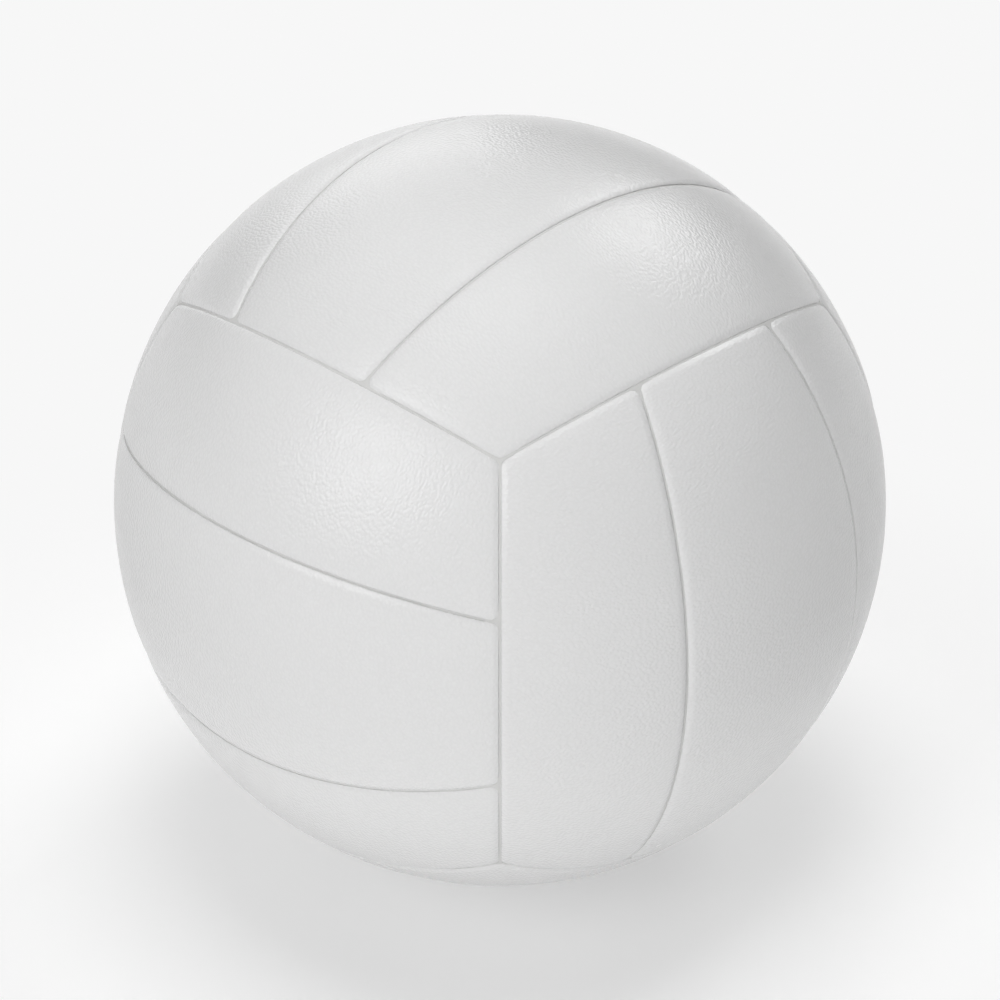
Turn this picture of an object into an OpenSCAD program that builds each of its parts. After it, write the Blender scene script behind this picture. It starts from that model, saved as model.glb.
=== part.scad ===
// Moulded indoor volleyball. A butyl bladder with its valve is wound with thread and set in a
// rubber carcass, and eighteen panels are bonded on between the carcass's ribs, each a skin turned
// down round its own foam pad.
// The origin is the centre of the ball, +Z is up, and the valve faces +Y.

/* [Ball] */
// Girth round the finished ball
girth = 660; // [500:5:800]

/* [Cover] */
// Thickness of each panel's skin
skin_t = 1.0; // [0.6:0.1:1.4]
// Thickness of the foam pad under a skin
foam_t = 2.0; // [1.2:0.1:4]
// Gap between the turned-down edges of neighbouring panels
seam_gap = 0.9; // [0.5:0.05:1.5]
// Inside radius of the fold that turns a skin down into its seam
fold_r = 0.5; // [0.2:0.1:1.2]
// Angle at which a panel's rolled edge meets its side, down in the seam
edge_lean = 40; // [10:2:60]
// Radius of a foam pad's corners, seen from above
pad_corner_r = 1.0; // [0.6:0.1:4]
// Share of a face's width that its middle strip takes, seen straight on
middle_share = 0.333; // [0.28:0.001:0.4]

/* [Inner layers] */
// Thickness of the moulded rubber carcass
carcass_t = 0.5; // [0.3:0.1:1.5]
// Depth below the cover of the carcass's ribs, which show in the seams
rib_depth = 0.55; // [0.4:0.05:1.5]
// Gap between a rib and the panels beside it
rib_gap = 0.05; // [0.05:0.05:0.2]
// Thickness of the layer of wound nylon thread
winding_t = 0.5; // [0.3:0.1:1.5]
// Thickness of the butyl bladder
bladder_t = 0.6; // [0.4:0.1:1.5]

/* [Valve] */
// Diameter of the valve housing's stem
stem_d = 7.0; // [6.2:0.1:9]
// Gap round the stem in the cover and its foam pad
stem_gap = 0.2; // [0.1:0.05:0.5]
// Depth of the stem's face below the cover
stem_recess = 0.4; // [0.2:0.1:1]
// Distance that the housing reaches into the ball from the bladder
housing_reach = 14; // [11:0.5:24]
// Diameter of the housing inside the ball
housing_d = 10; // [8:0.5:14]
// Diameter of the housing's flange
flange_d = 26; // [18:1:34]
// Thickness of the housing's flange
flange_t = 0.8; // [0.5:0.1:1.5]
// Diameter of the patch that bonds the flange to the bladder
patch_d = 40; // [36:1:60]
// Thickness of the patch
patch_t = 0.8; // [0.5:0.1:1.5]
// Thickness of the cement between the bladder and the patch
bond_t = 0.1; // [0.05:0.05:0.3]
// Diameter of the plug's body
plug_d = 4.0; // [3.6:0.1:4.4]
// Diameter of the plug's head
plug_head_d = 5.4; // [5:0.1:5.8]
// Thickness of the plug's head
plug_head_t = 1.2; // [0.8:0.1:2]
// Diameter of the bead that keeps the plug in its housing
bead_d = 5.6; // [5:0.1:6]
// Length of the bead
bead_length = 2.4; // [1.6:0.1:4]
// Distance that the plug's nose stands out of the housing
nose_reach = 2.0; // [1:0.1:3]
// Diameter of the plug at the end of its nose
nose_d = 3.0; // [2.4:0.1:3.4]
// Diameter of the bore that an inflating needle slides in
needle_d = 2.0; // [1.9:0.1:2.4]
// Diameter of the funnel that guides the needle in
mouth_d = 3.4; // [2.8:0.1:4]
// Depth of the funnel
mouth_depth = 0.8; // [0.5:0.1:1.1]
// Width of the self-closing slit in the plug's nose
slit_width = 1.7; // [1.2:0.1:1.8]
// Opening of the slit at rest
slit_opening = 0.2; // [0.1:0.05:0.4]
// Length of the slit
slit_length = 4.0; // [3.5:0.5:6]

/* [Hidden] */
// Each face of the ball: its name, its strips from low to high, how many times the axes change
// places (X to Y, Y to Z, Z to X) to bring +Z to it, and the turn to the opposite side
FACES = [
    ["top", ["left", "middle", "right"], 0, 0],
    ["bottom", ["left", "middle", "right"], 0, 180],
    ["right", ["front", "middle", "rear"], 1, 0],
    ["left", ["front", "middle", "rear"], 1, 180],
    ["back", ["lower", "middle", "upper"], 2, 0],
    ["front", ["lower", "middle", "upper"], 2, 180],
];
STRIPS = [0, 1, 2];
VALVE_FACE = [for (face = FACES) if (face[0] == "back") face][0];
VALVE_STRIP = "middle";

function panel_name(face, layer, strip) = str(face[0], "_", layer, "_", face[1][strip]);

// Angle at which a roll meets the surface that it starts from, so that no two surfaces only graze
// each other
ROLL_SKEW = 10;
// Arc along which an edge is rolled, past the corners at both its ends
ROLL_ARC = 100;
// Angle from the middle of a face to the seam with the next face
FACE_EDGE = 45;
QUARTER = 90;
// Turn about the ball's diagonal that makes the axes change places once
AXIS_SWAP = 120;
// Fineness of the drawn curves
BALL_FN = 128;
EDGE_FN = 64;
// Overrun of every cut
cut_over = 1.0;

ball_r = girth / (2 * PI);
pad_r = ball_r - skin_t;
carcass_r = pad_r - foam_t;
winding_r = carcass_r - carcass_t;
bladder_r = winding_r - winding_t;
bladder_base_r = bladder_r - bladder_t;
patch_r = bladder_base_r - bond_t;
flange_r = patch_r - patch_t;
flange_base_r = flange_r - flange_t;

// A fold is no larger than the corner of the pad that it goes round
roll_r = min(fold_r, pad_corner_r) + skin_t;
cover_corner_r = pad_corner_r + skin_t;
cover_setback = seam_gap / 2;
pad_setback = cover_setback + skin_t;
rib_r = ball_r - rib_depth;
rib_setback = cover_setback - rib_gap;
rib_corner_r = cover_corner_r + rib_gap;
// Angles across a face at which its strips start and end
strip_edges = [-FACE_EDGE, -atan(middle_share), atan(middle_share), FACE_EDGE];

stem_top = ball_r - stem_recess;
housing_tail = bladder_base_r - housing_reach;
plug_tip = housing_tail - nose_reach;
bead_z = (stem_top + housing_tail) / 2;
mouth_z = stem_top - mouth_depth;
slit_top = plug_tip + slit_length;

cover_color = [0.93, 0.93, 0.92];
foam_color = [0.86, 0.82, 0.70];
carcass_color = [0.90, 0.90, 0.89];
thread_color = [0.88, 0.87, 0.82];
butyl_color = [0.12, 0.12, 0.13];
patch_color = [0.35, 0.16, 0.12];
housing_color = [0.85, 0.84, 0.80];
plug_color = [0.95, 0.94, 0.90];

// Brings the top of the ball, with its strips running along Y, to a face
module on_face(face) {
    rotate(a = face[2] * AXIS_SWAP, v = [1, 1, 1]) rotate([face[3], 0, 0]) children();
}

// A hollow ball whose poles and meridian seam lie away from the top face
module ball_shell(outer_r, inner_r) {
    rotate([QUARTER, 0, 0]) difference() {
        sphere(outer_r, $fn = BALL_FN);
        sphere(inner_r, $fn = BALL_FN);
    }
}

// Distance from the ball's centre to the centre of a roll under a top surface
function roll_depth(top_r, edge_r) =
    sqrt(pow(top_r, 2) + pow(edge_r, 2) - 2 * top_r * edge_r * cos(ROLL_SKEW));

// The sharp corner outside a roll, as a flat shape above and beyond the roll's centre
module roll_waste(x, z, width, height, edge_r) {
    difference() {
        translate([x, z]) square([width, height]);
        translate([x, z]) circle(edge_r, $fn = EDGE_FN);
    }
}

// The seams at a strip's two ends: the middle of each seam lies along X, and the strip is on
// its -Z side
module at_ends() {
    for (side = [-1, 1])
        rotate([side * (FACE_EDGE + QUARTER), 0, 0]) rotate([0, 0, side * QUARTER]) children();
}

// The seams along a strip's two sides, in the same way
module at_sides(strip) {
    rotate([0, strip_edges[strip] - QUARTER, 0]) children();
    rotate([0, strip_edges[strip + 1] + QUARTER, 0]) rotate([0, 0, 2 * QUARTER]) children();
}

// Everything beyond an edge that stands at setback from its seam's plane
module edge_cut(top_r, setback) {
    reach = top_r + cut_over;
    translate([-reach, -reach, -setback]) cube([2 * reach, 2 * reach, reach + setback]);
}

// Rolls the top of an edge down to its side
module roll_cut(top_r, setback, edge_r) {
    roll_z = setback + edge_r * cos(edge_lean);
    roll_x = sqrt(pow(roll_depth(top_r, edge_r), 2) - pow(roll_z, 2));
    size = edge_r + cut_over;
    rotate([0, 0, -ROLL_ARC / 2]) rotate_extrude(angle = ROLL_ARC, $fn = BALL_FN)
        roll_waste(roll_x, -roll_z, size, size, edge_r);
}

// Rounds the corner where a side seam, at side_angle across the face, meets the far end's seam.
// An edge_r of zero leaves the top of the rounded corner sharp.
module corner_cut(side_angle, top_r, base_r, setback, edge_r, corner_r) {
    half_corner = acos(-sin(side_angle) * sin(FACE_EDGE)) / 2;
    along_seam = atan(tan(side_angle) * cos(FACE_EDGE));
    inset = asin((setback + corner_r * cos(ROLL_SKEW)) / (top_r * sin(half_corner)));
    arc = 2 * (QUARTER - half_corner);
    waste = corner_r / sin(half_corner) - corner_r + setback + cut_over;
    roll_x = corner_r - edge_r * cos(edge_lean);
    roll_z = sqrt(pow(roll_depth(top_r, edge_r), 2) - pow(roll_x, 2));
    // Out to the far seam, along it to the corner, and in along the line that halves the corner
    rotate([FACE_EDGE, 0, 0]) rotate([0, 0, QUARTER - along_seam])
        rotate([half_corner, 0, 0]) rotate([0, 0, inset]) rotate([0, QUARTER, 0])
            rotate([0, 0, -QUARTER - arc / 2]) rotate_extrude(angle = arc, $fn = EDGE_FN) {
                translate([corner_r, base_r - cut_over])
                    square([waste, top_r - base_r + 2 * cut_over]);
                if (edge_r > 0)
                    roll_waste(roll_x, roll_z, edge_r + waste, edge_r + cut_over, edge_r);
            }
}

// A strip's piece of shell at the top of the ball, with its corners rounded
module square_edged(strip, top_r, base_r, setback, edge_r, corner_r) {
    difference() {
        ball_shell(top_r, base_r);
        at_ends() edge_cut(top_r, setback);
        at_sides(strip) edge_cut(top_r, setback);
        for (end = [0, 1]) mirror([0, end, 0]) {
            corner_cut(strip_edges[strip + 1], top_r, base_r, setback, edge_r, corner_r);
            mirror([1, 0, 0])
                corner_cut(-strip_edges[strip], top_r, base_r, setback, edge_r, corner_r);
        }
    }
}

// The same with its top edges rolled down
module rolled(strip, top_r, base_r, setback, edge_r, corner_r) {
    difference() {
        difference() {
            square_edged(strip, top_r, base_r, setback, edge_r, corner_r);
            at_ends() roll_cut(top_r, setback, edge_r);
        }
        at_sides(strip) roll_cut(top_r, setback, edge_r);
    }
}

// The pad of a strip, down to base_r
module pad_block(strip, base_r) {
    square_edged(strip, pad_r, base_r, pad_setback, 0, pad_corner_r);
}

// The way through every layer for the valve's stem, in the middle of the top face
module stem_hole(gap) {
    translate([0, 0, housing_tail])
        cylinder(d = stem_d + 2 * gap, h = ball_r + cut_over - housing_tail, $fn = EDGE_FN);
}

// Cuts the stem's hole where the valve comes through
module cut_for_valve(face, strip) {
    difference() {
        children();
        if (face == VALVE_FACE && face[1][strip] == VALVE_STRIP) stem_hole(stem_gap);
    }
}

// A skin with its edges turned down round the foam pad to the carcass
module cover_panel(face, strip) {
    color(cover_color) on_face(face) cut_for_valve(face, strip) difference() {
        rolled(strip, ball_r, carcass_r, cover_setback, roll_r, cover_corner_r);
        pad_block(strip, carcass_r - cut_over);
    }
}

module foam_pad(face, strip) {
    color(foam_color) on_face(face) cut_for_valve(face, strip) pad_block(strip, carcass_r);
}

// A closed layer of the ball's core, open only where the valve's stem passes
module core_layer(outer_r, inner_r) {
    on_face(VALVE_FACE) difference() {
        ball_shell(outer_r, inner_r);
        stem_hole(0);
    }
}

// The carcass is moulded with a pocket for each panel, which leaves ribs between the panels
module carcass() {
    color(carcass_color) difference() {
        core_layer(rib_r, winding_r);
        for (face = FACES, strip = STRIPS) on_face(face)
            square_edged(strip, rib_r + cut_over, carcass_r, rib_setback, 0, rib_corner_r);
    }
}

module thread_winding() {
    color(thread_color) core_layer(winding_r, bladder_r);
}

module bladder() {
    color(butyl_color) core_layer(bladder_r, bladder_base_r);
}

// A round disc, curved to lie against the inside of the core
module curved_disc(disc_d, outer_r, inner_r) {
    intersection() {
        ball_shell(outer_r, inner_r);
        cylinder(d = disc_d, h = outer_r + cut_over, $fn = EDGE_FN);
    }
}

module valve_patch() {
    color(patch_color) on_face(VALVE_FACE) difference() {
        curved_disc(patch_d, patch_r, flange_r);
        stem_hole(0);
    }
}

// The outside of the plug, which is also the space that it fills in its housing
module plug_body() {
    rotate_extrude($fn = EDGE_FN) polygon([
        [0, stem_top],
        [plug_head_d / 2, stem_top],
        [plug_head_d / 2, stem_top - plug_head_t],
        [plug_d / 2, stem_top - plug_head_t],
        [plug_d / 2, bead_z + bead_length / 2],
        [bead_d / 2, bead_z],
        [plug_d / 2, bead_z - bead_length / 2],
        [plug_d / 2, housing_tail],
        [nose_d / 2, plug_tip],
        [0, plug_tip],
    ]);
}

module valve_housing() {
    color(housing_color) on_face(VALVE_FACE) difference() {
        union() {
            curved_disc(flange_d, flange_r, flange_base_r);
            translate([0, 0, housing_tail]) {
                cylinder(d = stem_d, h = stem_top - housing_tail, $fn = EDGE_FN);
                cylinder(d = housing_d, h = flange_r - flange_t / 2 - housing_tail, $fn = EDGE_FN);
            }
        }
        plug_body();
    }
}

module valve_plug() {
    color(plug_color) on_face(VALVE_FACE) difference() {
        plug_body();
        translate([0, 0, mouth_z])
            cylinder(d1 = needle_d, d2 = mouth_d, h = mouth_depth, $fn = EDGE_FN);
        translate([0, 0, slit_top]) cylinder(d = needle_d, h = mouth_z - slit_top, $fn = EDGE_FN);
        translate([-slit_width / 2, -slit_opening / 2, plug_tip - cut_over])
            cube([slit_width, slit_opening, slit_length + 2 * cut_over]);
    }
}

for (face = FACES, strip = STRIPS) {
    cover_panel(face, strip);
    foam_pad(face, strip);
}
carcass();
thread_winding();
bladder();
valve_patch();
valve_housing();
valve_plug();
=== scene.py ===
"""Plain white indoor volleyball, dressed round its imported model.

The eighteen panels are bent grids: each lies on the ball between its seams, has rounded corners
and is turned down round its foam pad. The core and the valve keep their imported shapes.
"""

from __future__ import annotations

import logging
import math
from dataclasses import dataclass
from enum import Enum

import bmesh
import bpy
from mathutils import Matrix, Vector, noise


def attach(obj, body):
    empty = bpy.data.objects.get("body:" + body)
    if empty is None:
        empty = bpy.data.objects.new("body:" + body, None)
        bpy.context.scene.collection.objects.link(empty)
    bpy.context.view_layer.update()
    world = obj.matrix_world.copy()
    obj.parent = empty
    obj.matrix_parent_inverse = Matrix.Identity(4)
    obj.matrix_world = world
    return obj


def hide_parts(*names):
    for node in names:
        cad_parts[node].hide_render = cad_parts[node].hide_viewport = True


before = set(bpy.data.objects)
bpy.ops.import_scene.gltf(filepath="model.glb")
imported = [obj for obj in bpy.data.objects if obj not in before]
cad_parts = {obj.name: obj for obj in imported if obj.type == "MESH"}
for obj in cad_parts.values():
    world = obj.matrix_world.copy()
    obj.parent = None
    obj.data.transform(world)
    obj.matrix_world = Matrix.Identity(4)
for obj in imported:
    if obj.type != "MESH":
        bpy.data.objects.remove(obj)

log = logging.getLogger("volleyball")

MM = 0.001
BODY = "root"
PANEL_MAP = "panel"


class Face(Enum):
    """The six faces of the ball: name, strips from low to high, changes of axes and flip."""

    TOP = ("top", ("left", "middle", "right"), 0, 0)
    BOTTOM = ("bottom", ("left", "middle", "right"), 0, 180)
    RIGHT = ("right", ("front", "middle", "rear"), 1, 0)
    LEFT = ("left", ("front", "middle", "rear"), 1, 180)
    BACK = ("back", ("lower", "middle", "upper"), 2, 0)
    FRONT = ("front", ("lower", "middle", "upper"), 2, 180)

    @property
    def strips(self) -> tuple[str, ...]:
        """Names of the face's strips."""
        return self.value[1]

    def node(self, layer: str, strip: int) -> str:
        """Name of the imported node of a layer's strip on this face."""
        return f"{self.value[0]}_{layer}_{self.strips[strip]}"

    def matrix(self) -> Matrix:
        """Turn that brings the top of the ball, with its strips along Y, to this face.

        Returns:
            The turn about the ball's middle.
        """
        axis_swap = math.radians(120 * self.value[2])
        flip = math.radians(self.value[3])
        return Matrix.Rotation(axis_swap, 4, Vector((1, 1, 1))) @ Matrix.Rotation(flip, 4, "X")


class Side(Enum):
    """The four seams round a strip, as seen from outside with the strip running up."""

    LEFT = "left"
    RIGHT = "right"
    NEAR = "near"
    FAR = "far"


VALVE_FACE = Face.BACK
VALVE_STRIP = 1


class Signal:
    """A value that varies over a surface: an output socket that Python's operators build on."""

    def __init__(self, bench: "Bench", socket: bpy.types.NodeSocket) -> None:
        """Wraps one output socket of a bench's node."""
        self.bench = bench
        self.socket = socket

    def maths(self, operation: str, *values: "Signal | float") -> "Signal":
        """Adds one Math node.

        Args:
            operation: The node's operation.
            values: Its inputs, in order.

        Returns:
            The node's result.
        """
        inputs = dict(enumerate(values))
        return self.bench.node("ShaderNodeMath", {"operation": operation}, inputs)

    def __add__(self, other: "Signal | float") -> "Signal":
        """self + other."""
        return self.maths("ADD", self, other)

    def __radd__(self, other: float) -> "Signal":
        """other + self."""
        return self.maths("ADD", other, self)

    def __sub__(self, other: "Signal | float") -> "Signal":
        """self - other."""
        return self.maths("SUBTRACT", self, other)

    def __rsub__(self, other: float) -> "Signal":
        """other - self."""
        return self.maths("SUBTRACT", other, self)

    def __mul__(self, other: "Signal | float") -> "Signal":
        """self * other."""
        return self.maths("MULTIPLY", self, other)

    def __rmul__(self, other: float) -> "Signal":
        """other * self."""
        return self.maths("MULTIPLY", other, self)

    def between(self, low: float, high: float) -> "Signal":
        """Smooth step that is 0 at low and 1 at high."""
        settings = {"interpolation_type": "SMOOTHSTEP"}
        return self.bench.node("ShaderNodeMapRange", settings, {0: self, 1: low, 2: high})


Triple = tuple[float, float, float]
Colour = Triple
Value = Signal | float | tuple[float, ...]


class Bench:
    """One material's node tree, on which a finish is put together."""

    def __init__(self, name: str) -> None:
        """Starts an empty material.

        Args:
            name: The material's name.
        """
        self.material = bpy.data.materials.new(name)
        self.material.use_nodes = True
        self.tree = self.material.node_tree
        self.tree.nodes.clear()

    def node(
        self,
        kind: str,
        settings: dict[str, object] | None = None,
        inputs: dict[int | str, Value] | None = None,
        output: int | str = 0,
    ) -> Signal:
        """Adds any node.

        Args:
            kind: The node's type.
            settings: Its properties, set before its sockets.
            inputs: Values or links of its input sockets, by place or name.
            output: The output socket that is wanted.

        Returns:
            That output.
        """
        made = self.tree.nodes.new(kind)
        for name, value in (settings or {}).items():
            setattr(made, name, value)
        for key, value in (inputs or {}).items():
            if isinstance(value, Signal):
                self.tree.links.new(value.socket, made.inputs[key])
            else:
                made.inputs[key].default_value = value
        return Signal(self, made.outputs[output])

    def blend(self, factor: Signal, low: Colour, high: Colour) -> Signal:
        """Colour that goes from low to high with a factor from 0 to 1."""
        inputs = {0: factor, 6: (*low, 1.0), 7: (*high, 1.0)}
        return self.node("ShaderNodeMix", {"data_type": "RGBA"}, inputs, output=2)

    def scaled(self, vector: Signal, scale: Triple) -> Signal:
        """Vector with each part multiplied."""
        return self.node("ShaderNodeVectorMath", {"operation": "MULTIPLY"}, {0: vector, 1: scale})

    def shaken(self, vector: Signal, scale: float, reach: float) -> Signal:
        """Vector pushed about by noise, so that what it draws isn't regular.

        Args:
            vector: The place on the surface.
            scale: Scale of the noise.
            reach: How far a place is pushed, in the vector's own unit.

        Returns:
            The shaken vector.
        """
        cloud = self.node("ShaderNodeTexNoise", {}, {"Vector": vector, "Scale": scale}, "Color")
        centred = self.node(
            "ShaderNodeVectorMath", {"operation": "SUBTRACT"}, {0: cloud, 1: (0.5, 0.5, 0.5)}
        )
        push = self.scaled(centred, (reach, reach, reach))
        return self.node("ShaderNodeVectorMath", {"operation": "ADD"}, {0: vector, 1: push})

    def noise(self, vector: Signal, scale: float, detail: float = 2.0) -> Signal:
        """Soft noise from 0 to 1."""
        inputs = {"Vector": vector, "Scale": scale, "Detail": detail}
        return self.node("ShaderNodeTexNoise", {}, inputs, "Fac")

    def finish(
        self,
        colour: Signal,
        roughness: Signal,
        height: Signal,
        depth: float,
        fixed: dict[str, float] | None = None,
    ) -> bpy.types.Material:
        """Ends the tree in a Principled shader.

        Args:
            colour: Base colour.
            roughness: Roughness.
            height: Relief from 0 to 1.
            depth: Depth of that relief, in metres.
            fixed: Other sockets of the shader that are the same all over.

        Returns:
            The material.
        """
        bump = self.node("ShaderNodeBump", {}, {"Height": height, "Distance": depth}, "Normal")
        inputs = {"Base Color": colour, "Roughness": roughness, "Normal": bump, **(fixed or {})}
        shader = self.node("ShaderNodeBsdfPrincipled", {}, inputs)
        self.node_output(shader)
        return self.material

    def node_output(self, shader: Signal) -> None:
        """Links a shader to the material's surface."""
        out = self.tree.nodes.new("ShaderNodeOutputMaterial")
        self.tree.links.new(shader.socket, out.inputs["Surface"])


@dataclass(frozen=True)
class GrainedLeather:
    """White synthetic leather with a fine pebbled grain, a little longer across its strip.

    The scales are those of noises on a grid with one pebble to a unit. Crest and valley are
    distances from a pebble's middle on that grid.
    """

    tone: Colour = (0.85, 0.85, 0.85)
    # Painted shade: the grain's hollows are coloured darker than its crests
    valley_shade_tone: Colour = (0.83, 0.83, 0.83)
    grain_length: float = 1.10 * MM
    grain_width: float = 0.80 * MM
    grain_depth: float = 0.08 * MM
    shake_scale: float = 0.45
    shake_reach: float = 0.7
    smoothness: float = 0.35
    crest: float = 0.05
    valley: float = 0.75
    pore_share: float = 0.05
    pore_scale: float = 2.2
    press_share: float = 0.3
    press_scale: float = 0.16
    press_low: float = 0.3
    press_high: float = 0.75
    cloud_scale: float = 0.06
    detail: float = 3.0
    roughness: float = 0.26
    roughness_spread: float = 0.06
    refraction: float = 1.5

    def material(self) -> bpy.types.Material:
        """Builds the leather on the panels' own map, which is in metres.

        Returns:
            The material.
        """
        bench = Bench("cover_leather")
        place = bench.node("ShaderNodeUVMap", {"uv_map": PANEL_MAP})
        grid = bench.scaled(place, (1 / self.grain_width, 1 / self.grain_length, 1.0))
        loose = bench.shaken(grid, self.shake_scale, self.shake_reach)
        pebbles = bench.node(
            "ShaderNodeTexVoronoi",
            {"feature": "SMOOTH_F1", "voronoi_dimensions": "2D"},
            {"Vector": loose, "Scale": 1.0, "Smoothness": self.smoothness},
            "Distance",
        )
        swell = 1.0 - pebbles.between(self.crest, self.valley)
        pores = bench.noise(grid, self.pore_scale, self.detail)
        # Patches where the grain is pressed deeper, a few millimetres across
        press = bench.noise(grid, self.press_scale).between(self.press_low, self.press_high)
        grain = swell * (1.0 - self.pore_share) + pores * self.pore_share
        height = grain * ((1.0 - self.press_share) + press * self.press_share)
        # The grain's hollows are painted darker than its crests, as painted shade
        colour = bench.blend(swell, self.valley_shade_tone, self.tone)
        cloud = bench.noise(grid, self.cloud_scale, self.detail)
        roughness = (self.roughness - self.roughness_spread / 2) + cloud * self.roughness_spread
        fixed = {"IOR": self.refraction}
        return bench.finish(colour, roughness, height, self.grain_depth, fixed)


@dataclass(frozen=True)
class FoamFinish:
    """Cream latex foam with open pores, painted darker inside them as painted shade. A wall starts
    and ends at shares of the pores' size.
    """

    tone: Colour = (0.80, 0.74, 0.58)
    pore_shade_tone: Colour = (0.52, 0.45, 0.30)
    pore_size: float = 0.55 * MM
    pore_depth: float = 0.12 * MM
    wall_start: float = 0.12
    wall_end: float = 0.55
    roughness: float = 0.82
    roughness_spread: float = 0.15
    cloud_scale: float = 0.4

    def material(self) -> bpy.types.Material:
        """Builds the foam on object coordinates.

        Returns:
            The material.
        """
        bench = Bench("pad_foam")
        place = bench.node("ShaderNodeTexCoord", {}, {}, "Object")
        grid = bench.scaled(place, (1 / self.pore_size,) * 3)
        cells = bench.node("ShaderNodeTexVoronoi", {}, {"Vector": grid, "Scale": 1.0}, "Distance")
        walls = cells.between(self.wall_start, self.wall_end)
        # The pores are painted darker than the walls: painted shade inside them
        colour = bench.blend(walls, self.pore_shade_tone, self.tone)
        cloud = bench.noise(grid, self.cloud_scale)
        roughness = self.roughness + cloud * self.roughness_spread
        return bench.finish(colour, roughness, walls, self.pore_depth)


@dataclass(frozen=True)
class RubberFinish:
    """Moulded rubber with a fine bloom on it."""

    name: str
    tone: Colour
    bloom_tone: Colour
    roughness: float
    speck_size: float = 0.6 * MM
    speck_depth: float = 0.02 * MM
    speck_detail: float = 3.0
    bloom_scale: float = 0.05
    bloom_detail: float = 4.0
    bloom_low: float = 0.35
    bloom_high: float = 0.8
    bloom_roughness: float = 0.15

    def material(self) -> bpy.types.Material:
        """Builds the rubber on object coordinates.

        Returns:
            The material.
        """
        bench = Bench(self.name)
        place = bench.node("ShaderNodeTexCoord", {}, {}, "Object")
        grid = bench.scaled(place, (1 / self.speck_size,) * 3)
        specks = bench.noise(grid, 1.0, self.speck_detail)
        cloud = bench.noise(grid, self.bloom_scale, self.bloom_detail)
        bloom = cloud.between(self.bloom_low, self.bloom_high)
        colour = bench.blend(bloom, self.tone, self.bloom_tone)
        roughness = self.roughness + bloom * self.bloom_roughness
        return bench.finish(colour, roughness, specks, self.speck_depth)


@dataclass(frozen=True)
class ThreadFinish:
    """Nylon thread wound every way round the bladder and set in latex.

    The wander is the turn, in radians of the ridges' wave, by which a thread strays.
    """

    tone: Colour = (0.80, 0.78, 0.70)
    # Painted shade: the gaps between the threads are coloured dark
    gap_shade_tone: Colour = (0.30, 0.26, 0.18)
    thread_d: float = 0.45 * MM
    slants: tuple[Triple, ...] = ((1.0, 0.35, 0.2), (-0.3, 1.0, 0.45), (0.25, -0.4, 1.0))
    wander: float = 4.0
    wander_scale: float = 60.0
    gap_roughness: float = 0.65
    sheen: float = 0.15

    def material(self) -> bpy.types.Material:
        """Builds the thread on object coordinates, as bands that cross at three slants.

        Returns:
            The material.
        """
        bench = Bench("wound_thread")
        place = bench.node("ShaderNodeTexCoord", {}, {}, "Object")
        ridges = [self.lay(bench, place, slant) for slant in self.slants]
        top = ridges[0].maths("MAXIMUM", ridges[0], ridges[1])
        top = top.maths("MAXIMUM", top, ridges[2])
        # The gaps between the threads are painted dark, as painted shade
        colour = bench.blend(top, self.gap_shade_tone, self.tone)
        roughness = self.gap_roughness - top * self.sheen
        return bench.finish(colour, roughness, top, self.thread_d / 2)

    def lay(self, bench: Bench, place: Signal, slant: Triple) -> Signal:
        """Ridges of threads that lie side by side, square to a slant.

        Args:
            bench: The material in the making.
            place: The place in the winding.
            slant: The direction across the threads.

        Returns:
            The ridges' height from 0 to 1.
        """
        inputs = {0: place, 1: Vector(slant).normalized()}
        run = bench.node("ShaderNodeVectorMath", {"operation": "DOT_PRODUCT"}, inputs, "Value")
        wander = bench.noise(place, self.wander_scale) * self.wander
        wave = run * (math.pi / self.thread_d) + wander
        return wave.maths("ABSOLUTE", wave.maths("SINE", wave))


@dataclass(frozen=True)
class BallSizes:
    """Sizes of the ball's layers, in metres."""

    girth: float = 660 * MM
    skin_t: float = 1.0 * MM
    foam_t: float = 2.0 * MM
    seam_gap: float = 0.9 * MM
    middle_share: float = 0.333

    @property
    def cover_r(self) -> float:
        """Radius of the finished ball."""
        return self.girth / (2 * math.pi)

    @property
    def carcass_r(self) -> float:
        """Radius of the carcass under the pads."""
        return self.cover_r - self.skin_t - self.foam_t

    def strip_angles(self) -> list[float]:
        """Angles across a face at which its strips start and end."""
        inner = math.atan(self.middle_share)
        return [-math.pi / 4, -inner, inner, math.pi / 4]


@dataclass(frozen=True)
class EdgeRow:
    """One row of a panel's edge: its inset from the outline and its radius on the ball."""

    inset: float
    radius: float


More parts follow.
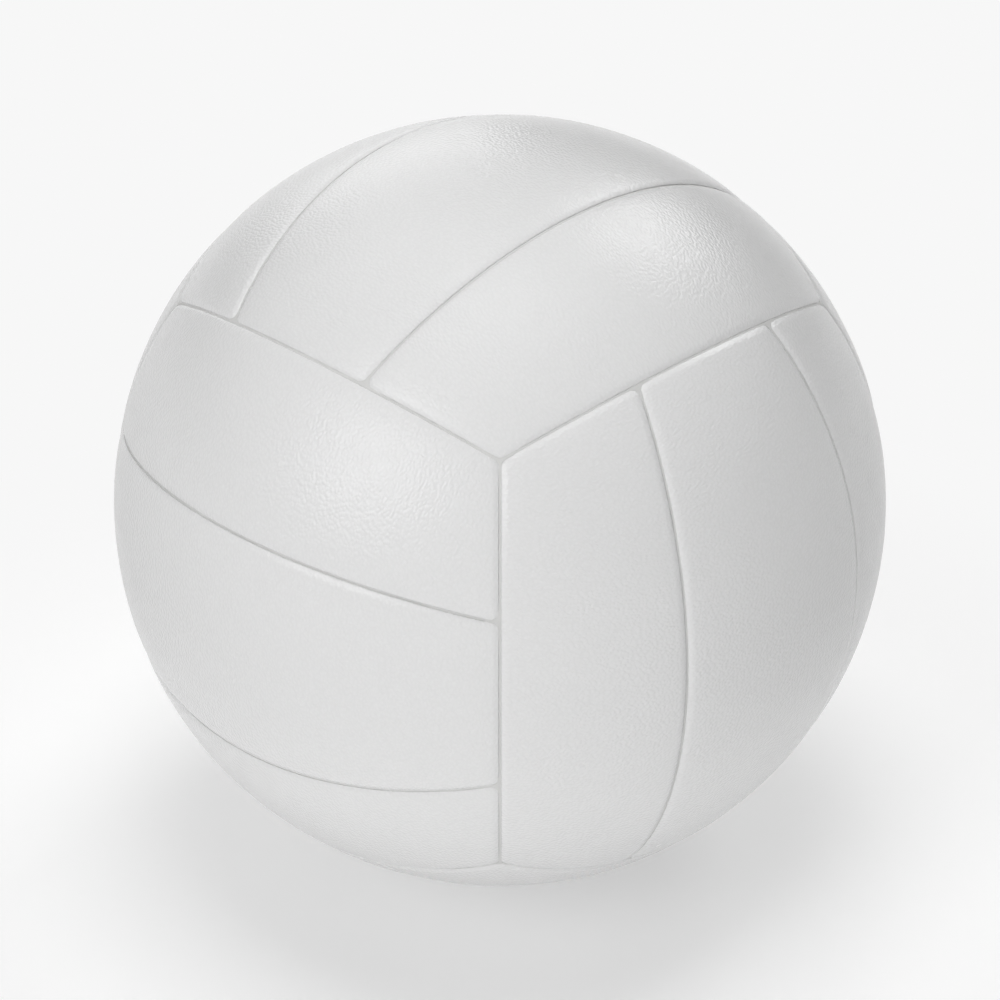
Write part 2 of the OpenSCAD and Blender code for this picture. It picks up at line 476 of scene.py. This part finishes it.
class StripPatch:
    """A strip of the top face as a bent grid with rounded corners and a shaped edge."""

    def __init__(
        self,
        sizes: BallSizes,
        strip: int,
        setback: float,
        rows: list[EdgeRow],
        cell: float,
    ) -> None:
        """Works out the seams and the corners' axes.

        Args:
            sizes: The ball's sizes.
            strip: Which strip of the face.
            setback: Distance of the outline from the seams' planes.
            rows: The edge from its foot to the end of the corner's rounding.
            cell: Size of the grid's cells away from the edge.
        """
        start, end = sizes.strip_angles()[strip : strip + 2]
        slope = math.sqrt(0.5)
        self.rows = rows
        self.setback = setback
        self.corner_r = rows[-1].inset
        self.radius = rows[-1].radius
        self.middle_angle = (start + end) / 2
        self.normals = {
            Side.LEFT: Vector((math.cos(start), 0.0, -math.sin(start))),
            Side.RIGHT: Vector((-math.cos(end), 0.0, math.sin(end))),
            Side.NEAR: Vector((0.0, slope, slope)),
            Side.FAR: Vector((0.0, -slope, slope)),
        }
        self.axes = {
            (side, tip): self.corner_axis(self.normals[side], self.normals[tip])
            for side in (Side.LEFT, Side.RIGHT)
            for tip in (Side.NEAR, Side.FAR)
        }
        self.edge = len(rows) - 1
        self.across = self.cells(self.radius * (end - start), cell)
        self.along = self.cells(self.radius * math.pi / 2, cell)

    @staticmethod
    def cells(length: float, cell: float) -> int:
        """Even number of cells that fits a length."""
        return 2 * round(length / cell / 2)

    @property
    def counts(self) -> tuple[int, int]:
        """Cells of the whole grid, across and along."""
        return self.across + 2 * self.edge, self.along + 2 * self.edge

    def corner_axis(self, one: Vector, other: Vector) -> Vector:
        """Direction of the centre of a corner's rounding, equally far from both seams.

        Args:
            one: Normal of one seam's plane, into the panel.
            other: Normal of the other seam's plane.

        Returns:
            The direction from the ball's middle.
        """
        inset = (self.setback + self.corner_r) / self.radius
        both = one.dot(other)
        share = inset / (1 + both)
        out = one.cross(other).normalized()
        if out.z < 0:
            out.negate()
        return (one + other) * share + out * math.sqrt(1 - 2 * share**2 * (1 + both))

    def band_point(self, side: Side, share: float, row: EdgeRow) -> Vector:
        """A point beside a seam, at a share of the way between its two corners.

        Args:
            side: The seam.
            share: The share of the way.
            row: The row of the edge on which it lies.

        Returns:
            The point.
        """
        normal = self.normals[side]
        if side in (Side.LEFT, Side.RIGHT):
            ends = [self.axes[side, tip] for tip in (Side.NEAR, Side.FAR)]
        else:
            ends = [self.axes[flank, side] for flank in (Side.LEFT, Side.RIGHT)]
        first, last = [(axis - normal * axis.dot(normal)).normalized() for axis in ends]
        off = self.setback + row.inset
        return normal * off + first.slerp(last, share) * math.sqrt(row.radius**2 - off**2)

    def corner_point(self, side: Side, tip: Side, turn: float, row: EdgeRow) -> Vector:
        """A point round a corner, at a share of the turn from its side seam to its end seam.

        Args:
            side: The side seam.
            tip: The end seam.
            turn: The share of the turn.
            row: The row of the edge on which it lies.

        Returns:
            The point.
        """
        axis = self.axes[side, tip]
        towards = [self.normals[seam] for seam in (side, tip)]
        first, last = [(axis * axis.dot(n) - n).normalized() for n in towards]
        off = self.corner_r - row.inset
        return first.slerp(last, turn) * off + axis * math.sqrt(row.radius**2 - off**2)

    def inner_point(self, across: float, along: float) -> Vector:
        """A point inside the edge, at shares of the way across and along.

        Args:
            across: Share from the left edge to the right one.
            along: Share from the near edge to the far one.

        Returns:
            The point.
        """
        row = self.rows[-1]
        left = self.band_point(Side.LEFT, along, row)
        right = self.band_point(Side.RIGHT, along, row)
        near = self.band_point(Side.NEAR, across, row)
        far = self.band_point(Side.FAR, across, row)
        axes = self.axes
        near_corners = axes[Side.LEFT, Side.NEAR].lerp(axes[Side.RIGHT, Side.NEAR], across)
        far_corners = axes[Side.LEFT, Side.FAR].lerp(axes[Side.RIGHT, Side.FAR], across)
        corners = near_corners.lerp(far_corners, along) * self.radius
        ruled = left.lerp(right, across) + near.lerp(far, along)
        return (ruled - corners).normalized() * self.radius

    def point(self, i: int, j: int) -> Vector:
        """Place of one grid vertex on the top face.

        Args:
            i: Its column, from the left.
            j: Its line, from the near end.

        Returns:
            The place.
        """
        columns, lines = self.counts
        in_i, in_j = min(i, columns - i), min(j, lines - j)
        side = Side.LEFT if i < columns / 2 else Side.RIGHT
        tip = Side.NEAR if j < lines / 2 else Side.FAR
        across = (i - self.edge) / self.across
        along = (j - self.edge) / self.along
        if in_i >= self.edge and in_j >= self.edge:
            return self.inner_point(across, along)
        if in_j >= self.edge:
            return self.band_point(side, along, self.rows[in_i])
        if in_i >= self.edge:
            return self.band_point(tip, across, self.rows[in_j])
        out_i, out_j = self.edge - in_i, self.edge - in_j
        if out_i >= out_j:
            turn = 0.5 * out_j / out_i
        else:
            turn = 1 - 0.5 * out_i / out_j
        return self.corner_point(side, tip, turn, self.rows[self.edge - max(out_i, out_j)])

    def seam_distances(self, direction: Vector) -> list[float]:
        """Distances along the ball from a direction to each seam."""
        return [self.radius * math.asin(direction.dot(n)) for n in self.normals.values()]

    def panel_map(self, place: Vector) -> tuple[float, float]:
        """Distances along and across the strip's middle line, in metres."""
        turned = Matrix.Rotation(-self.middle_angle, 3, "Y") @ place.normalized()
        return self.radius * math.atan2(turned.y, turned.z), self.radius * math.asin(turned.x)


@dataclass(frozen=True)
class StemHole:
    """The round hole for the valve's stem, in the middle of a patch."""

    wall_r: float = 3.7 * MM
    lip_r: float = 0.35 * MM
    rings: int = 3
    fade_rings: int = 9
    lip_steps: int = 4
    slack: float = 0.1 * MM

    @property
    def ring_r(self) -> float:
        """Radius of the ring where the lip starts."""
        return self.wall_r + self.lip_r

    def bend(self, place: Vector, a: int, b: int, cell: float) -> Vector:
        """Moves a grid vertex so that the rings round the middle become round.

        Args:
            place: The vertex on the plain grid.
            a: Its cells across from the middle.
            b: Its cells along from the middle.
            cell: Size of a cell.

        Returns:
            Its new place, on the same sphere.
        """
        ring = max(abs(a), abs(b))
        if ring < self.rings or ring >= self.fade_rings:
            return place
        if abs(a) >= abs(b):
            angle = math.pi / 4 * b / a + (math.pi if a < 0 else 0.0)
        else:
            angle = math.pi / 2 - math.pi / 4 * a / b + (math.pi if b < 0 else 0.0)
        reach = self.ring_r + (ring - self.rings) * cell
        height = math.sqrt(place.length_squared - reach**2)
        rounded = Vector((reach * math.cos(angle), reach * math.sin(angle), height))
        share = (ring - self.rings) / (self.fade_rings - self.rings)
        share = share * share * (3 - 2 * share)
        return rounded.lerp(place, share).normalized() * place.length

    def open(self, bm: bmesh.types.BMesh) -> list[bmesh.types.BMEdge]:
        """Takes out the faces inside the hole.

        Args:
            bm: The bent grid, still at the top face.

        Returns:
            The edges round the hole.
        """
        limit = self.ring_r + self.slack
        inside = [f for f in bm.faces if all(v.co.xy.length < limit and v.co.z > 0 for v in f.verts)]
        bmesh.ops.delete(bm, geom=inside, context="FACES")
        return [
            e for e in bm.edges if e.is_boundary and all(v.co.xy.length < limit for v in e.verts)
        ]


class Piece:
    """Turns a bmesh into a finished object that rides on the ball."""

    @staticmethod
    def place(
        name: str,
        bm: bmesh.types.BMesh,
        material: bpy.types.Material,
        node: str,
        slot: str,
    ) -> bpy.types.Object:
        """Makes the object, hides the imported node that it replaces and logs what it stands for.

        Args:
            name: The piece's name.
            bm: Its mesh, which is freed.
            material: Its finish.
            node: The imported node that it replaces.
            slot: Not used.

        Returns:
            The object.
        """
        mesh = bpy.data.meshes.new(name)
        bm.to_mesh(mesh)
        bm.free()
        mesh.shade_smooth()
        mesh.materials.append(material)
        made = bpy.data.objects.new(name, mesh)
        bpy.context.scene.collection.objects.link(made)
        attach(made, BODY)
        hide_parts(node)
        log.info("%s: %d faces, stands for %s", name, len(mesh.polygons), node)
        return made


@dataclass
class PanelLayer:
    """What the skins and the pads share: grids that bulge between the seams, a little unevenly."""

    sizes: BallSizes
    crown: float = 0.30 * MM
    shoulder_drop: float = 0.42 * MM
    shoulder_reach: float = 2.7 * MM
    wave_height: float = 0.05 * MM
    wave_length: float = 14.0 * MM
    cell: float = 1.3 * MM

    def soften(self, patch: StripPatch, place: Vector, foot_r: float, turn: Matrix) -> Vector:
        """Lets a point rise on its panel's crown, sink near the seams and wave a little.

        Args:
            patch: The strip that it lies on.
            place: The point, on the top face.
            foot_r: Radius at which nothing moves.
            turn: The turn to the point's own face.

        Returns:
            The moved point.
        """
        direction = place.normalized()
        share = max(0.0, (place.length - foot_r) / (patch.radius - foot_r))
        near = sum(math.exp(-d / self.shoulder_reach) for d in patch.seam_distances(direction))
        wave = noise.noise((turn @ direction) * (self.sizes.cover_r / self.wave_length))
        rise = self.crown + wave * self.wave_height - near * self.shoulder_drop
        return place + direction * share * rise

    def bent_grid(
        self, patch: StripPatch, face: Face, foot_r: float, hole: StemHole | None
    ) -> bmesh.types.BMesh:
        """Bends one grid to a strip of the top face.

        Args:
            patch: The strip.
            face: The face that the strip belongs to.
            foot_r: Radius of the edge's foot.
            hole: The stem's hole, where the strip has one.

        Returns:
            The grid, still at the top face.
        """
        columns, lines = patch.counts
        bm = bmesh.new()
        bmesh.ops.create_grid(bm, x_segments=columns, y_segments=lines, size=1.0)
        turn = face.matrix().to_3x3()
        for vert in bm.verts:
            i = round((vert.co.x + 1) / 2 * columns)
            j = round((vert.co.y + 1) / 2 * lines)
            place = patch.point(i, j)
            if hole:
                place = hole.bend(place, i - columns // 2, j - lines // 2, self.cell)
            vert.co = self.soften(patch, place, foot_r, turn)
        return bm


@dataclass
class CoverPanels(PanelLayer):
    """The eighteen skins, each turned down round its pad."""

    roll_r: float = 4.8 * MM
    edge_lean: float = 65.0
    corner_r: float = 2.1 * MM
    lip: float = 0.2 * MM
    lip_t: float = 0.17 * MM
    wall_rows: int = 2
    roll_rows: int = 8
    shoulder_rows: int = 2
    map_step: float = 0.31

    def edge_rows(self) -> list[EdgeRow]:
        """Rows from the foot of the turned-down edge to the end of the corner's rounding.

        Returns:
            The rows, from the outside in.
        """
        top, foot = self.sizes.cover_r, self.sizes.carcass_r
        roll, corner = self.roll_r, self.corner_r
        lean = math.radians(self.edge_lean)
        wall = top - roll * (1 - math.sin(lean)) - self.lip_t - foot
        reach = roll * math.cos(lean)
        rows = [
            EdgeRow(self.lip, foot + wall * k / self.wall_rows) for k in range(self.wall_rows + 1)
        ]
        for k in range(self.roll_rows + 1):
            angle = lean + (math.pi / 2 - lean) * k / self.roll_rows
            rows.append(
                EdgeRow(reach - roll * math.cos(angle), top - roll * (1 - math.sin(angle)))
            )
        for k in range(1, self.shoulder_rows + 1):
            rows.append(EdgeRow(reach + (corner - reach) * k / self.shoulder_rows, top))
        return rows

    def add_map(self, bm: bmesh.types.BMesh, patch: StripPatch, index: int) -> None:
        """Gives a panel its own map in metres, shifted so that no two panels share their grain.

        Args:
            bm: The bent grid, still at the top face.
            patch: Its strip.
            index: The panel's number in the ball.
        """
        layer = bm.loops.layers.uv.new(PANEL_MAP)
        shift = Vector((index * self.map_step, index * index * self.map_step))
        for bmface in bm.faces:
            for loop in bmface.loops:
                loop[layer].uv = Vector(patch.panel_map(loop.vert.co)) + shift

    def turn_in_hole(self, bm: bmesh.types.BMesh, hole: StemHole) -> None:
        """Opens the stem's hole and rounds the skin down into it.

        Args:
            bm: The bent grid, still at the top face.
            hole: The hole.
        """
        ring = hole.open(bm)
        last = 0.0
        for k in range(1, hole.lip_steps + 2):
            angle = math.pi / 2 * min(k / hole.lip_steps, 1.0)
            reach = hole.ring_r - hole.lip_r * math.sin(angle)
            depth = hole.lip_r * (1 - math.cos(angle))
            if k > hole.lip_steps:
                depth = self.sizes.skin_t
            made = bmesh.ops.extrude_edge_only(bm, edges=ring)["geom"]
            for vert in (g for g in made if isinstance(g, bmesh.types.BMVert)):
                flat = vert.co.xy.normalized() * reach
                vert.co = Vector((flat.x, flat.y, vert.co.z - (depth - last)))
            ring = [g for g in made if isinstance(g, bmesh.types.BMEdge)]
            last = depth

    def build(self, material: bpy.types.Material) -> None:
        """Makes every panel.

        Args:
            material: The leather.
        """
        rows = self.edge_rows()
        index = 0
        for face in Face:
            for strip in range(len(face.strips)):
                valve = face is VALVE_FACE and strip == VALVE_STRIP
                hole = StemHole() if valve else None
                setback = self.sizes.seam_gap / 2 - self.lip
                patch = StripPatch(self.sizes, strip, setback, rows, self.cell)
                bm = self.bent_grid(patch, face, self.sizes.carcass_r, hole)
                if hole:
                    self.turn_in_hole(bm, hole)
                self.add_map(bm, patch, index)
                bmesh.ops.transform(bm, matrix=face.matrix(), verts=bm.verts)
                node = face.node("cover", strip)
                panel = Piece.place(f"{node}_skin", bm, material, node, "cover_skin")
                wall = panel.modifiers.new("skin", "SOLIDIFY")
                wall.thickness = self.sizes.skin_t
                wall.offset = -1.0
                wall.use_even_offset = True
                index += 1


@dataclass
class FoamPads(PanelLayer):
    """The eighteen foam pads that lie under the skins."""

    clearance: float = 0.05 * MM
    edge_r: float = 0.4 * MM
    corner_r: float = 1.0 * MM
    roll_rows: int = 3
    cell: float = 2.6 * MM
    fill: float = 1.0

    def edge_rows(self) -> list[EdgeRow]:
        """Rows from the side of the pad over its rounded top edge.

        Returns:
            The rows, from the outside in.
        """
        top = self.sizes.cover_r - self.sizes.skin_t - self.clearance
        rows = []
        for k in range(self.roll_rows + 1):
            angle = math.pi / 2 * k / self.roll_rows
            inset = self.edge_r * (1 - math.cos(angle))
            rows.append(EdgeRow(inset, top - self.edge_r * (1 - math.sin(angle))))
        rows.append(EdgeRow(self.corner_r, top))
        return rows

    def thicken(self, bm: bmesh.types.BMesh) -> None:
        """Closes a pad's top into a block that lies on the carcass.

        Args:
            bm: The pad's top.
        """
        made = bmesh.ops.extrude_face_region(bm, geom=bm.faces[:], use_keep_orig=True)["geom"]
        base = [g for g in made if isinstance(g, bmesh.types.BMVert)]
        for vert in base:
            vert.co = vert.co.normalized() * (self.sizes.carcass_r + self.clearance)
        bmesh.ops.recalc_face_normals(bm, faces=bm.faces[:])

    def build(self, material: bpy.types.Material) -> None:
        """Makes every pad.

        Args:
            material: The foam.
        """
        rows = self.edge_rows()
        setback = self.sizes.seam_gap / 2 + self.sizes.skin_t + self.clearance
        for face in Face:
            for strip in range(len(face.strips)):
                valve = face is VALVE_FACE and strip == VALVE_STRIP
                hole = StemHole(lip_r=0.0, rings=2, fade_rings=6) if valve else None
                patch = StripPatch(self.sizes, strip, setback, rows, self.cell)
                bm = self.bent_grid(patch, face, self.sizes.carcass_r, hole)
                if hole:
                    hole.open(bm)
                self.thicken(bm)
                bmesh.ops.transform(bm, matrix=face.matrix(), verts=bm.verts)
                node = face.node("foam", strip)
                pad = Piece.place(f"{node}_pad", bm, material, node, "foam")


@dataclass(frozen=True)
class CoreAndValve:
    """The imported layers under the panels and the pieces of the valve."""

    carcass: RubberFinish = RubberFinish(
        "carcass_rubber", (0.68, 0.68, 0.67), (0.74, 0.74, 0.73), roughness=0.55
    )
    bladder: RubberFinish = RubberFinish(
        "butyl_rubber", (0.010, 0.010, 0.011), (0.05, 0.05, 0.05), roughness=0.40
    )
    patch: RubberFinish = RubberFinish(
        "patch_rubber", (0.11, 0.022, 0.012), (0.15, 0.05, 0.035), roughness=0.60
    )
    housing: RubberFinish = RubberFinish(
        "housing_rubber",
        (0.60, 0.59, 0.55),
        (0.70, 0.69, 0.66),
        roughness=0.45,
        speck_size=0.3 * MM,
        speck_depth=0.01 * MM,
    )
    plug: RubberFinish = RubberFinish(
        "plug_rubber",
        (0.72, 0.71, 0.67),
        (0.80, 0.79, 0.76),
        roughness=0.40,
        speck_size=0.3 * MM,
        speck_depth=0.01 * MM,
    )
    thread: ThreadFinish = ThreadFinish()

    def dress(self) -> None:
        """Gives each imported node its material."""
        finishes = {
            "carcass": self.carcass,
            "thread_winding": self.thread,
            "bladder": self.bladder,
            "valve_patch": self.patch,
            "valve_housing": self.housing,
            "valve_plug": self.plug,
        }
        for node, finish in finishes.items():
            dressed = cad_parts[node]
            dressed.data.materials.clear()
            dressed.data.materials.append(finish.material())
            log.info("%s: dressed in %s", node, dressed.data.materials[0].name)


@dataclass(frozen=True)
class Lamp:
    """A soft box that looks at the ball's middle."""

    name: str
    azimuth: float
    elevation: float
    brightness: float
    width: float = 1.6
    height: float = 1.6
    distance: float = 3.0
    in_gloss: bool = True

    def hang(self) -> None:
        """Adds the lamp, which shows a white surface facing it at its brightness."""
        light = bpy.data.lights.new(self.name, "AREA")
        light.shape = "RECTANGLE"
        light.size = self.width
        light.size_y = self.height
        light.energy = self.brightness * (math.pi * self.distance) ** 2
        lamp = bpy.data.objects.new(self.name, light)
        out = direction(self.azimuth, self.elevation)
        lamp.location = out * self.distance
        lamp.rotation_mode = "QUATERNION"
        lamp.rotation_quaternion = out.to_track_quat("Z", "Y")
        lamp.visible_glossy = self.in_gloss
        bpy.context.scene.collection.objects.link(lamp)


def direction(azimuth: float, elevation: float) -> Vector:
    """Unit vector from the ball towards a viewer or a lamp.

    Args:
        azimuth: Degrees round from the front, positive towards +X.
        elevation: Degrees above the horizon.

    Returns:
        The direction.
    """
    a, e = math.radians(azimuth), math.radians(elevation)
    return Vector((math.sin(a) * math.cos(e), -math.cos(a) * math.cos(e), math.sin(e)))


@dataclass(frozen=True)
class Studio:
    """The pale floor, the soft light and the camera."""

    floor_size: float = 16.0
    floor_tone: float = 0.90
    shown_tone: float = 0.545
    paper_white: float = 0.931
    shadow_share: float = 0.50
    fade_start: float = 120 * MM
    fade_end: float = 260 * MM
    ambient: float = 0.002
    view_azimuth: float = 45.0
    view_elevation: float = 30.06
    view_distance: float = 8.57
    lens: float = 118.3
    sensor: float = 36.0
    lamps: tuple[Lamp, ...] = (
        Lamp("front_softbox", azimuth=1.0, elevation=33.0, brightness=0.237, width=1.4, height=1.4),
        Lamp("back_softbox", azimuth=186.0, elevation=42.0, brightness=0.190, width=1.1, height=1.1),
        Lamp("overhead", azimuth=0.0, elevation=90.0, brightness=0.552, in_gloss=False),
        Lamp("low_fill", azimuth=45.0, elevation=5.7, brightness=0.329, height=0.8, in_gloss=False),
        Lamp("left_softbox", azimuth=-120.0, elevation=20.0, brightness=0.137),
        Lamp("high_left_softbox", azimuth=-90.0, elevation=55.0, brightness=0.058),
    )

    def lay_floor(self, level: float) -> None:
        """Lays the floor, whose colour reaches white for the camera and keeps the shadow.

        Args:
            level: Height of the floor.
        """
        bm = bmesh.new()
        bmesh.ops.create_grid(bm, x_segments=1, y_segments=1, size=self.floor_size / 2)
        bmesh.ops.translate(bm, vec=Vector((0.0, 0.0, level)), verts=bm.verts)
        mesh = bpy.data.meshes.new("floor")
        bm.to_mesh(mesh)
        bm.free()
        floor = bpy.data.objects.new("floor", mesh)
        bpy.context.scene.collection.objects.link(floor)
        bench = Bench("paper_floor")
        camera_ray = bench.node("ShaderNodeLightPath", {}, {}, "Is Camera Ray")
        glossy_ray = bench.node("ShaderNodeLightPath", {}, {}, "Is Glossy Ray")
        seen = camera_ray.maths("MAXIMUM", camera_ray, glossy_ray)
        paper, shown = [
            bench.node("ShaderNodeBsdfDiffuse", {}, {"Color": (tone, tone, tone, 1.0)})
            for tone in (self.floor_tone, self.shown_tone)
        ]
        lift = bench.node(
            "ShaderNodeEmission", {}, {"Strength": self.paper_white * (1 - self.shadow_share)}
        )
        lit = bench.node("ShaderNodeAddShader", {}, {0: shown, 1: lift})
        # Beyond the shadow the floor is as white as the world behind it
        place = bench.node("ShaderNodeTexCoord", {}, {}, "Object")
        plan = bench.scaled(place, (1.0, 1.0, 0.0))
        reach = bench.node("ShaderNodeVectorMath", {"operation": "LENGTH"}, {0: plan}, "Value")
        far = reach.between(self.fade_start, self.fade_end)
        blank = bench.node("ShaderNodeEmission", {}, {"Strength": self.paper_white})
        backdrop = bench.node("ShaderNodeMixShader", {}, {0: far, 1: lit, 2: blank})
        mixed = bench.node("ShaderNodeMixShader", {}, {0: seen, 1: paper, 2: backdrop})
        bench.node_output(mixed)
        mesh.materials.append(bench.material)

    def light_world(self) -> None:
        """Sets an even ambient light, behind which the camera sees the floor's white."""
        world = bpy.data.worlds.new("studio")
        world.use_nodes = True
        tree = world.node_tree
        background = tree.nodes["Background"]
        path = tree.nodes.new("ShaderNodeLightPath")
        strength = tree.nodes.new("ShaderNodeMapRange")
        strength.inputs["To Min"].default_value = self.ambient
        strength.inputs["To Max"].default_value = self.paper_white
        tree.links.new(path.outputs["Is Camera Ray"], strength.inputs["Value"])
        background.inputs["Color"].default_value = (1.0, 1.0, 1.0, 1.0)
        tree.links.new(strength.outputs["Result"], background.inputs["Strength"])
        bpy.context.scene.world = world

    def place_camera(self, ball_r: float) -> None:
        """Puts the camera at the photograph's angle, looking at the ball's middle.

        Args:
            ball_r: Radius of the ball.
        """
        data = bpy.data.cameras.new("camera")
        data.sensor_width = self.sensor
        data.lens = self.lens
        data.dof.use_dof = False
        camera = bpy.data.objects.new("camera", data)
        back = direction(self.view_azimuth, self.view_elevation)
        camera.location = back * self.view_distance * ball_r
        camera.rotation_mode = "QUATERNION"
        camera.rotation_quaternion = back.to_track_quat("Z", "Y")
        bpy.context.scene.collection.objects.link(camera)
        bpy.context.scene.camera = camera

    def build(self, ball_r: float) -> None:
        """Sets the whole studio up round a ball whose middle is the origin.

        Args:
            ball_r: Radius of the ball.
        """
        self.place_camera(ball_r)
        self.lay_floor(-ball_r)
        self.light_world()
        for lamp in self.lamps:
            lamp.hang()
        bpy.context.scene.view_settings.view_transform = "Standard"


def main() -> None:
    """Builds the studio and every layer of the ball."""
    logging.basicConfig(level=logging.INFO, format="%(message)s")
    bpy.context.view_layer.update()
    sizes = BallSizes()
    covers = CoverPanels(sizes)
    Studio().build(sizes.cover_r + covers.crown)
    covers.build(GrainedLeather().material())
    FoamPads(sizes).build(FoamFinish().material())
    CoreAndValve().dress()


if __name__ == "__main__":
    main()
